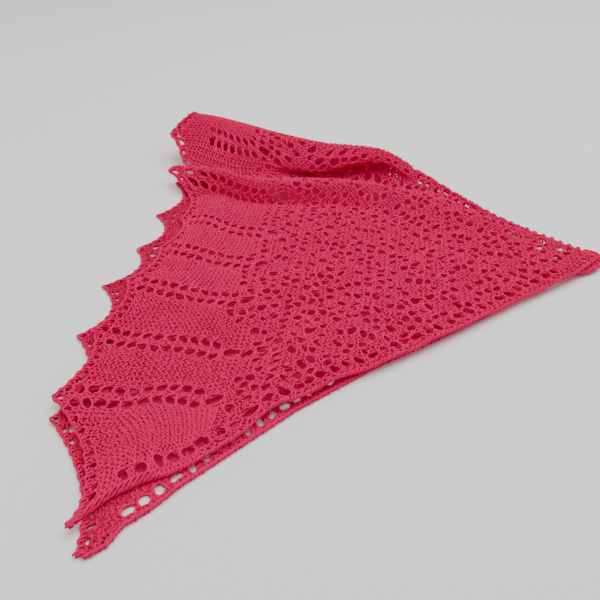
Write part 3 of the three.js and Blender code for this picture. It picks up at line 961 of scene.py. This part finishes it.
def lower_grid(u, v):
    """Places along and across of the lower cloth by its shares across and along."""
    first, last = LOWER_CORE_ROWS
    along = first + (last - first) * np.minimum(v / BODY_SHARE, 1)
    near = lower_edge_across(along) + LOWER_CORE_INSIDE
    arc = np.interp(along, CLOSED_ROWS, LOWER_CORE_ARCS)
    far = np.interp(along, *lower_foot_line()) - arc
    across = near + (far - near) * u
    share = np.clip((v - BODY_SHARE) / (1 - BODY_SHARE), 0, 1)
    tip = LOWER_POINTS[0, 1] + (LOWER_POINTS[-1, 1] - LOWER_POINTS[0, 1]) * u
    along = along + (lower_scallop(tip) - LOWER_CORE_SHORT - last) * share
    return along, across + (tip - across) * share


@lru_cache(maxsize=None)
def lower_eyelets():
    """Openings of the lower half by places along and across."""
    size = LOWER_EDGE_EYELET
    found = [
        (row, lower_edge_across(row) + size["inset"], size["long"], size["wide"])
        for row in np.arange(size["first"], size["last"], size["pitch"])
    ]
    size, line = LOWER_POINT_EYELET, BORDER_EYELET
    for along, across in LOWER_POINTS[1:]:
        for step in range(size["count"]):
            at = along - line["first"] - step * line["pitch"]
            for side in (-1, 1):
                found.append((at, across + side * line["apart"], size["long"], size["wide"]))
    size = LOWER_RIM_EYELET
    ends = (LOWER_POINTS[0, 1] + size["first"], LOWER_POINTS[-1, 1] - size["last"])
    return np.array(found + eyelets_of_rim(size, lower_scallop, *ends), float)


def lower_cloth_place(u, v):
    """Places of the corners of the lower core sheet."""
    along, across = open_eyelets(*lower_grid(u, v), lower_eyelets(), False)
    return lower_place(along, across, np.full(len(along), LOWER_CORE_OUT))


def lower_cloth_gone(u, v):
    """Cells of the lower core sheet that lie in its openings."""
    return in_eyelets(*lower_grid(u, v), lower_eyelets(), LOWER_HOLE)


def lower_edge_start(along):
    """Place across of the straight edge of the lower half, past its end at the wing."""
    rounded = along < LOWER_EDGE[-1, 0] + LOWER_WING_ROUND
    return np.where(rounded, lower_edge_across(along), LOWER_POINTS[0, 1])


def lower_border_courses(sizes):
    """Rows along the scallops of the lower half."""
    rng = np.random.default_rng(SEEDS["lower_border"])
    strands = []
    ends = (math.ceil(LOWER_POINTS[0, 1] / sizes.width), int(LOWER_POINTS[-1, 1] / sizes.width))
    for k in range(LOWER_BORDER_ROWS):
        place, rise, lift = loops(*ends, sizes.loop, sizes.lift, rng)
        inset = (k + 0.5) * sizes.row
        across = place * sizes.width
        along = lower_scallop(across) - np.maximum(inset - rise, LAST_INSIDE)
        room = LEAST_INSIDE if inset < LOWER_RIM else LOWER_BAND
        keep = across > lower_edge_start(along) + room
        strands += course(along, across, lift, keep, lower_eyelets())
    return strands


def lower_band_courses(sizes):
    """Rows of the strip of the lower half along its straight edge."""
    rng = np.random.default_rng(SEEDS["lower_band"])
    strands = []
    for row in np.arange(LOWER_BAND_FIRST, LOWER_EDGE[-1, 0] - LOWER_BAND_PAST, sizes.row):
        first = math.floor(float(lower_edge_across(row)) / sizes.width) - 1
        place, rise, lift = loops(first, first + LOWER_BAND_STITCHES, sizes.loop, sizes.lift, rng)
        along, across = row + rise, place * sizes.width
        inset = across - lower_edge_across(along)
        keep = (inset > LEAST_INSIDE) & (inset < LOWER_BAND + LOWER_BAND_PAST)
        strands += course(along, across, lift, keep, lower_eyelets())
    return strands


def lower_edge_cords():
    """Bound edge along the straight side of the lower half."""
    length = np.r_[0, np.cumsum(np.hypot(*np.diff(LOWER_EDGE, axis=0).T))]
    strands = []
    for at, aside, lift in cord(length[-1], CORD_RADIUS, CORD_LAY):
        along, across = (np.interp(at, length, LOWER_EDGE[:, i]) for i in (0, 1))
        inset = CORD_RADIUS + CORD_INSIDE + aside - knobs(at, EDGE_KNOBS)
        strands.append([along, across + inset * math.hypot(1, EDGE_SLOPE), lift])
    return strands


def neck_roll():
    """Rounded end of the fold at the neck corner: arcs of stitches inside a wound roll."""
    strands = []
    at = np.linspace(0, 1, NECK_STEPS)
    outer, inner = (
        [smooth(np.array(shape[0], float), np.array(values, float), at) for values in shape[1:]]
        for shape in (NECK_ROLL, NECK_INSIDE)
    )
    swing_along, swing_up = NECK_SWING
    for k in range(NECK_ARCS):
        share = k / NECK_ARCS
        along, across, up = (a + (b - a) * share for a, b in zip(inner, outer))
        wave = at * TURN * NECK_WAVES
        along = along + swing_along * np.cos(wave + k * math.pi)
        strands.append([along, across, up + swing_up * np.sin(wave) - LOWER_HEIGHT])
    for k in range(NECK_STRANDS):
        turn = at * TURN * NECK_TURNS + k * TURN / NECK_STRANDS
        aside, lift = NECK_RADIUS * np.cos(turn), NECK_RADIUS * np.sin(turn)
        along, across, up = outer
        strands.append([along + aside, across + aside * NECK_LEAN, up + lift - LOWER_HEIGHT])
    return strands


def lower_rim_cords():
    """Bound edge along the scallops of the lower half."""
    strands = []
    span = LOWER_POINTS[-1, 1] - LOWER_POINTS[0, 1]
    for at, aside, lift in cord(span, RIM_RADIUS, RIM_LAY, RIM_STRANDS):
        across = LOWER_POINTS[0, 1] + at
        along = lower_scallop(across) - RIM_RADIUS + aside + knobs(at, RIM_KNOBS)
        strands.append([along, across, lift])
    return strands


class Sizes:
    """Sizes of the knitting in millimetres, read from the panel."""

    def __init__(self, context):
        held = context.scene.shawl_sizes
        self.width = held.stitch_width / MM
        self.row = held.row_height / MM
        self.loop = held.loop_height / MM
        self.lift = held.yarn_lift / MM
        self.yarn = held.yarn_thickness / MM


class Number:
    """A value in a material; an expression on it adds the Math nodes."""

    def __init__(self, shader, socket):
        self.shader = shader
        self.socket = socket

    def math(self, operation, *values):
        """Add one Math node."""
        values = [value.socket if isinstance(value, Number) else value for value in values]
        settings = {"operation": operation}
        node = self.shader.node("ShaderNodeMath", settings, dict(enumerate(values)))
        return Number(self.shader, node.outputs[0])

    def __add__(self, other):
        return self.math("ADD", self, other)

    def __sub__(self, other):
        return self.math("SUBTRACT", self, other)

    def __mul__(self, other):
        return self.math("MULTIPLY", self, other)

    def __truediv__(self, other):
        return self.math("DIVIDE", self, other)

    def ramp(self, low, high):
        """Nought at low, one at high and straight between them."""
        span = self.shader.node(
            "ShaderNodeMapRange", {}, {"Value": self.socket, "From Min": low, "From Max": high}
        )
        return Number(self.shader, span.outputs["Result"])


class Shader:
    """The nodes of one material."""

    def __init__(self, name):
        self.material = bpy.data.materials.new(name)
        self.material.use_nodes = True
        self.tree = self.material.node_tree
        self.surface = self.tree.nodes["Principled BSDF"]

    def node(self, kind, settings=None, values=None):
        """Add a node with its settings and the values of its sockets."""
        made = self.tree.nodes.new(kind)
        for name, value in (settings or {}).items():
            setattr(made, name, value)
        for name, value in (values or {}).items():
            self.feed(made.inputs[name], value)
        return made

    def feed(self, socket, value):
        """Link a socket to a value of the material, or set it."""
        if isinstance(value, Number):
            value = value.socket
        if isinstance(value, bpy.types.NodeSocket):
            self.tree.links.new(value, socket)
        else:
            socket.default_value = value

    def set(self, values):
        """Feed sockets of the surface."""
        for name, value in values.items():
            self.feed(self.surface.inputs[name], value)

    def noise(self, size, detail=2.0):
        """Noise on the object's own coordinates, by the size of its grain in metres."""
        place = self.node("ShaderNodeTexCoord").outputs["Object"]
        made = self.node(
            "ShaderNodeTexNoise", {}, {"Vector": place, "Scale": 1 / size, "Detail": detail}
        )
        return Number(self, made.outputs["Fac"])


def mix_colours(shader, share, first, second):
    """A colour between two, by a share."""
    made = shader.node("ShaderNodeMix", {"data_type": "RGBA"})
    shader.feed(made.inputs[0], share)
    shader.feed(made.inputs[6], first)
    shader.feed(made.inputs[7], second)
    return made.outputs[2]


def yarn_material(name, light, darker_shade, magenta):
    """Two plies of soft wool, with painted shade where they meet, and fuzzy all over."""
    shader = Shader(name)
    strand = shader.node("ShaderNodeAttribute", {"attribute_name": "strand"}).outputs["Vector"]
    parts = shader.node("ShaderNodeSeparateXYZ", {}, {"Vector": strand})
    along, across, up = (Number(shader, parts.outputs[i]) for i in range(3))
    turn = along * (TURN / PLY_LAY)
    size = across * across + up * up
    cosine, sine = turn.math("COSINE", turn), turn.math("SINE", turn)
    ply = cosine * (across * across - up * up) - sine * (across * up * 2)
    # The ply pattern is low in the grooves between the plies: it shapes the bump, and in the
    # colour it gives painted shade
    twist = (ply / size * 0.5 + 0.5).ramp(0.0, 0.75)
    fibres = shader.noise(YARN_FIBRE, 3).ramp(0.3, 0.7)
    patches = shader.noise(YARN_PATCH, 2).ramp(0.35, 0.7)
    # Tone: painted shade in the grooves between the plies, with fibres that vary at random
    tone = twist * 0.35 + fibres * 0.4 + 0.25
    ply_shaded = mix_colours(shader, tone, darker_shade, light)
    colour = mix_colours(shader, patches * 0.5, ply_shaded, magenta)
    relief = shader.node(
        "ShaderNodeBump", {}, {"Strength": 0.5, "Distance": 0.0003, "Height": twist + fibres * 0.6}
    )
    shader.set({
        "Base Color": colour,
        "Roughness": fibres * 0.15 + 0.75,
        "Normal": relief.outputs["Normal"],
        "Sheen Weight": 0.06,
        "Sheen Roughness": 0.5,
        "Sheen Tint": (1.0, 0.2, 0.5, 1.0),
        "Specular IOR Level": 0.15,
    })
    return shader.material


def core_material(name, light, darker_shade):
    """Felted core of the cloth that shows between the loops of yarn: coloured as yarn in painted
    shade, with a faint painted glow for light through the yarn.
    """
    shader = Shader(name)
    fibres = shader.noise(CORE_FIBRE, 3).ramp(0.3, 0.7)
    patches = shader.noise(CORE_PATCH, 2).ramp(0.3, 0.7)
    colour = mix_colours(shader, fibres * 0.6 + patches * 0.4, darker_shade, light)
    relief = shader.node(
        "ShaderNodeBump", {}, {"Strength": 0.6, "Distance": 0.0005, "Height": fibres}
    )
    shader.set({
        "Base Color": colour,
        "Roughness": fibres * 0.1 + 0.85,
        "Normal": relief.outputs["Normal"],
        "Sheen Weight": 0.05,
        "Sheen Tint": (1.0, 0.6, 0.7, 1.0),
        "Specular IOR Level": 0.2,
        # Painted glow: a faint red emission stands in for light passing through the yarn
        "Emission Color": (0.44, 0.004, 0.054, 1.0),
        "Emission Strength": 0.5,
    })
    return shader.material


def material(name, make, *colours):
    """The material of that name, made on first use."""
    return bpy.data.materials.get(name) or make(name, *colours)


def rgba(colour):
    """A colour with full opacity."""
    return (*colour, 1.0)


def dress(piece, nodes, slot, context, core=False):
    """Give a finished piece its material and its body, and hide the CAD nodes that it stands for.
    """
    held = context.scene.shawl_sizes
    if core:
        # The core sheets are coloured as yarn in painted shade, with a painted glow
        finish = material("wool_core", core_material, rgba(held.core_shade_color), rgba(held.darker_core_shade))
    else:
        # Yarn of the lower border, under the upper scallops, is darkened as painted shade
        name, shade = ("wool_under", UNDER_SHADE) if slot == "lower_border" else ("wool_yarn", 1)
        tones = (held.yarn_color, held.shade_color, held.patch_color)
        finish = material(name, yarn_material, *(rgba(np.array(tone) * shade) for tone in tones))
    piece.data.materials.append(finish)
    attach(piece, "root")
    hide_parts(*nodes)


def check(piece, least):
    """Stop if a piece came out with hardly any faces."""
    if len(piece.data.polygons) < least:
        raise RuntimeError(f"{piece.name} has only {len(piece.data.polygons)} faces")


def knit_piece(context, name, strands, place, nodes):
    """Knit one piece from strands in the cloth's own places."""
    sizes = Sizes(context)
    lowest = sizes.yarn / 2 + YARN_ABOVE
    lines = []
    for strand in strands:
        points = place(*strand)
        points[:, 2] = np.maximum(points[:, 2], lowest)
        lines.append(points)
    piece = knit(name, lines, sizes.yarn)
    tag_strands(piece.data, [len(points) for points in lines])
    close_ends(piece.data)
    check(piece, KNIT_LEAST)
    dress(piece, nodes, nodes[0], context)
    return piece


def knit_parts(context, name, strands, slot):
    """Knit a large piece of the upper half in parts, with its strands in order."""
    ends = np.cumsum([len(strand[0]) for strand in strands])
    bounds = np.searchsorted(ends, ends[-1] * np.arange(KNIT_PARTS + 1) / KNIT_PARTS)
    bounds[-1] = len(strands)
    for i, (first, last) in enumerate(zip(bounds[:-1], bounds[1:])):
        knit_piece(context, f"{name}_{i + 1}", strands[first:last], upper_place, [slot])


def lay_cloth(context, name, cells, place, gone, nodes):
    """A thin core sheet with its openings, dressed in felted wool coloured with painted shade."""
    piece = grid_sheet(name, *cells, place, gone)
    check(piece, CORE_LEAST)
    wall = piece.modifiers.new("wall", "SOLIDIFY")
    wall.thickness = context.scene.shawl_sizes.core_thickness
    wall.offset = 0
    dress(piece, nodes, nodes[0], context, core=True)


def beside_seam(strands, within):
    """The parts of strands on one side of the seam between the body and the edge band."""
    parts = []
    for row, flat, lift in strands:
        chosen = flat > band_seam(row)
        if within:
            chosen = ~chosen
        cuts = np.flatnonzero(np.diff(chosen.astype(int))) + 1
        for run in np.split(np.arange(len(row)), cuts):
            if chosen[run[0]] and len(run) > 1:
                run = np.arange(run[0], min(run[-1] + 2, len(row)))
                parts.append([row[run], flat[run], lift[run]])
    return parts


def split_at_fold(strands, beyond):
    """The parts of strands on one side of the line where the fold starts."""
    parts = []
    for row, flat, lift in strands:
        past = flat > foot_flat(row)
        first = int(np.argmax(past)) if past.any() else len(row)
        cut = slice(max(first - 1, 0), None) if beyond else slice(0, first + 1)
        if len(row[cut]) > 2 and (past.any() or not beyond):
            parts.append([row[cut], flat[cut], lift[cut]])
    return parts


class ShawlSizes(bpy.types.PropertyGroup):
    """Sizes and colours of the shawl that a user would change."""

    stitch_width: bpy.props.FloatProperty(
        name="Stitch Width", description="Width of one stitch", default=0.0063, unit="LENGTH"
    )
    row_height: bpy.props.FloatProperty(
        name="Row Height", description="Height of one row of stitches", default=0.0054,
        unit="LENGTH",
    )
    loop_height: bpy.props.FloatProperty(
        name="Loop Height", description="Rise of a loop from the middle of its row",
        default=0.0045, unit="LENGTH",
    )
    yarn_lift: bpy.props.FloatProperty(
        name="Yarn Lift", description="How far a loop stands out of the cloth",
        default=0.00115, unit="LENGTH",
    )
    yarn_thickness: bpy.props.FloatProperty(
        name="Yarn Thickness", description="Diameter of the yarn", default=0.002, unit="LENGTH"
    )
    core_thickness: bpy.props.FloatProperty(
        name="Core Thickness", description="Thickness of the felted core of the cloth",
        default=0.0007, unit="LENGTH",
    )
    yarn_color: bpy.props.FloatVectorProperty(
        name="Yarn Colour", description="Colour of the lit yarn", default=(0.89, 0.0, 0.12),
        subtype="COLOR",
    )
    shade_color: bpy.props.FloatVectorProperty(
        name="Shade Colour", description="Colour between the plies", default=(0.68, 0.0, 0.07),
        subtype="COLOR",
    )
    patch_color: bpy.props.FloatVectorProperty(
        name="Patch Colour", description="Cooler colour of slow patches",
        default=(0.8, 0.002, 0.16), subtype="COLOR",
    )
    # Colours of the core are painted shade: yarn as it looks in the shade between the loops
    core_shade_color: bpy.props.FloatVectorProperty(
        name="Core Colour", description="Colour of the core of the cloth",
        default=(0.41, 0.003, 0.058), subtype="COLOR",
    )
    darker_core_shade: bpy.props.FloatVectorProperty(
        name="Deep Colour", description="Darkest colour of the core", default=(0.27, 0.0, 0.022),
        subtype="COLOR",
    )
    floor_color: bpy.props.FloatVectorProperty(
        name="Floor Colour", description="Colour of the floor", default=(0.95, 0.95, 0.935),
        subtype="COLOR",
    )


class SHAWL_OT_upper_cloth(bpy.types.Operator):
    """Lay the felted core of the upper half, with its openings"""

    bl_idname = "shawl.upper_cloth"
    bl_label = "Upper Cloth"

    def execute(self, context):
        nodes = ["upper_body", "upper_border", "spine_fold"]
        lay_cloth(context, "upper_cloth", UPPER_CELLS, upper_cloth_place, upper_cloth_gone, nodes)
        return {"FINISHED"}


class SHAWL_OT_upper_body(bpy.types.Operator):
    """Knit the lace body of the upper half"""

    bl_idname = "shawl.upper_body"
    bl_label = "Upper Body"

    def execute(self, context):
        strands = beside_seam(split_at_fold(body_courses(Sizes(context)), False), False)
        knit_parts(context, "upper_body_knit", strands, "upper_body")
        return {"FINISHED"}


class SHAWL_OT_upper_border(bpy.types.Operator):
    """Knit the pointed border of the upper half"""

    bl_idname = "shawl.upper_border"
    bl_label = "Upper Border"

    def execute(self, context):
        strands = beside_seam(split_at_fold(border_courses(Sizes(context)), False), False)
        strands += split_at_fold(rim_cords(), False) + wing_roll()
        knit_parts(context, "upper_border_knit", strands, "upper_border")
        return {"FINISHED"}


class SHAWL_OT_spine_fold(bpy.types.Operator):
    """Knit the fold that joins the two halves along the far edge"""

    bl_idname = "shawl.spine_fold"
    bl_label = "Spine Fold"

    def execute(self, context):
        sizes = Sizes(context)
        strands = split_at_fold(body_courses(sizes) + border_courses(sizes) + rim_cords(), True)
        strands += spine_cords()
        knit_piece(context, "spine_fold_knit", strands, upper_place, ["spine_fold"])
        return {"FINISHED"}


class SHAWL_OT_upper_band(bpy.types.Operator):
    """Knit the ridged band along the straight edge of the upper half"""

    bl_idname = "shawl.upper_band"
    bl_label = "Upper Band"

    def execute(self, context):
        sizes = Sizes(context)
        courses = body_courses(sizes) + border_courses(sizes)
        strands = beside_seam(split_at_fold(courses, False), True) + edge_cords()
        knit_piece(context, "upper_band_knit", strands, upper_place, ["upper_band"])
        return {"FINISHED"}


class SHAWL_OT_lower_cloth(bpy.types.Operator):
    """Lay the core of the lower half on the table"""

    bl_idname = "shawl.lower_cloth"
    bl_label = "Lower Cloth"

    def execute(self, context):
        nodes = ["lower_body", "lower_border", "lower_band"]
        lay_cloth(context, "lower_cloth", LOWER_CELLS, lower_cloth_place, lower_cloth_gone, nodes)
        return {"FINISHED"}


class SHAWL_OT_lower_edges(bpy.types.Operator):
    """Knit what shows of the border and the band of the lower half"""

    bl_idname = "shawl.lower_edges"
    bl_label = "Lower Edges"

    def execute(self, context):
        sizes = Sizes(context)
        border = lower_border_courses(sizes)
        knit_piece(context, "lower_border_knit", border, lower_place, ["lower_border"])
        band = lower_band_courses(sizes) + lower_edge_cords() + lower_rim_cords() + neck_roll()
        knit_piece(context, "lower_band_knit", band, lower_place, ["lower_band"])
        return {"FINISHED"}


class SHAWL_OT_sheets(bpy.types.Operator):
    """Sheets step, which does nothing."""

    bl_idname = "shawl.sheets"
    bl_label = "Sheets"

    def execute(self, context):
        return {"FINISHED"}


class SHAWL_OT_stage(bpy.types.Operator):
    """Set the floor, the soft light and the camera"""

    bl_idname = "shawl.stage"
    bl_label = "Stage"

    def execute(self, context):
        floor = bmesh.new()
        bmesh.ops.create_grid(floor, x_segments=1, y_segments=1, size=FLOOR_REACH)
        ground = add_object("floor", finished_mesh("floor", floor))
        paint = Shader("floor_paper")
        paint.set({"Base Color": rgba(context.scene.shawl_sizes.floor_color), "Roughness": 0.8})
        ground.data.materials.append(paint.material)
        for lamp in LAMPS:
            add_lamp(*lamp)
        world = bpy.data.worlds.new("soft_room")
        world.use_nodes = True
        sky = world.node_tree.nodes["Background"]
        sky.inputs["Color"].default_value = SKY_COLOUR
        sky.inputs["Strength"].default_value = SKY_STRENGTH
        context.scene.world = world
        add_camera(context)
        return {"FINISHED"}


def add_lamp(name, place, size, power, colour):
    """A square lamp that shines on the middle of the floor."""
    light = bpy.data.lights.new(name, "AREA")
    light.size = size
    light.energy = power
    light.color = colour
    lamp = add_object(name, light)
    lamp.location = place
    lamp.rotation_euler = (Vector((0, 0, 0)) - Vector(place)).to_track_quat("-Z", "Y").to_euler()


def add_camera(context):
    """The camera of the stage."""
    lens = bpy.data.cameras.new("view")
    lens.lens = CAMERA_LENS
    lens.sensor_width = CAMERA_SENSOR
    lens.clip_start, lens.clip_end = CAMERA_REACH
    camera = add_object("view", lens)
    camera.location = Vector(CAMERA_PLACE) * MM
    camera.rotation_euler = (math.pi / 2 - CAMERA_PITCH, 0, 0)
    context.scene.camera = camera


OPERATORS = (
    SHAWL_OT_upper_cloth,
    SHAWL_OT_upper_body,
    SHAWL_OT_upper_border,
    SHAWL_OT_spine_fold,
    SHAWL_OT_upper_band,
    SHAWL_OT_lower_cloth,
    SHAWL_OT_lower_edges,
    SHAWL_OT_stage,
    SHAWL_OT_sheets,
)


class SHAWL_PT_panel(bpy.types.Panel):
    """Sizes, colours and steps of the shawl"""

    bl_idname = "SHAWL_PT_panel"
    bl_label = "Folded Lace Shawl"
    bl_space_type = "VIEW_3D"
    bl_region_type = "UI"
    bl_category = "Shawl"

    def draw(self, context):
        held = context.scene.shawl_sizes
        for name in ShawlSizes.__annotations__:
            self.layout.prop(held, name)
        for step in OPERATORS:
            self.layout.operator(step.bl_idname)


CLASSES = (ShawlSizes, *OPERATORS, SHAWL_PT_panel)


def register():
    for cls in CLASSES:
        bpy.utils.register_class(cls)
    bpy.types.Scene.shawl_sizes = bpy.props.PointerProperty(type=ShawlSizes)


def unregister():
    del bpy.types.Scene.shawl_sizes
    for cls in reversed(CLASSES):
        bpy.utils.unregister_class(cls)


def main():
    """Run all the steps in order."""
    register()
    for step in OPERATORS:
        group, name = step.bl_idname.split(".")
        getattr(getattr(bpy.ops, group), name)()


if __name__ == "__main__":
    main()
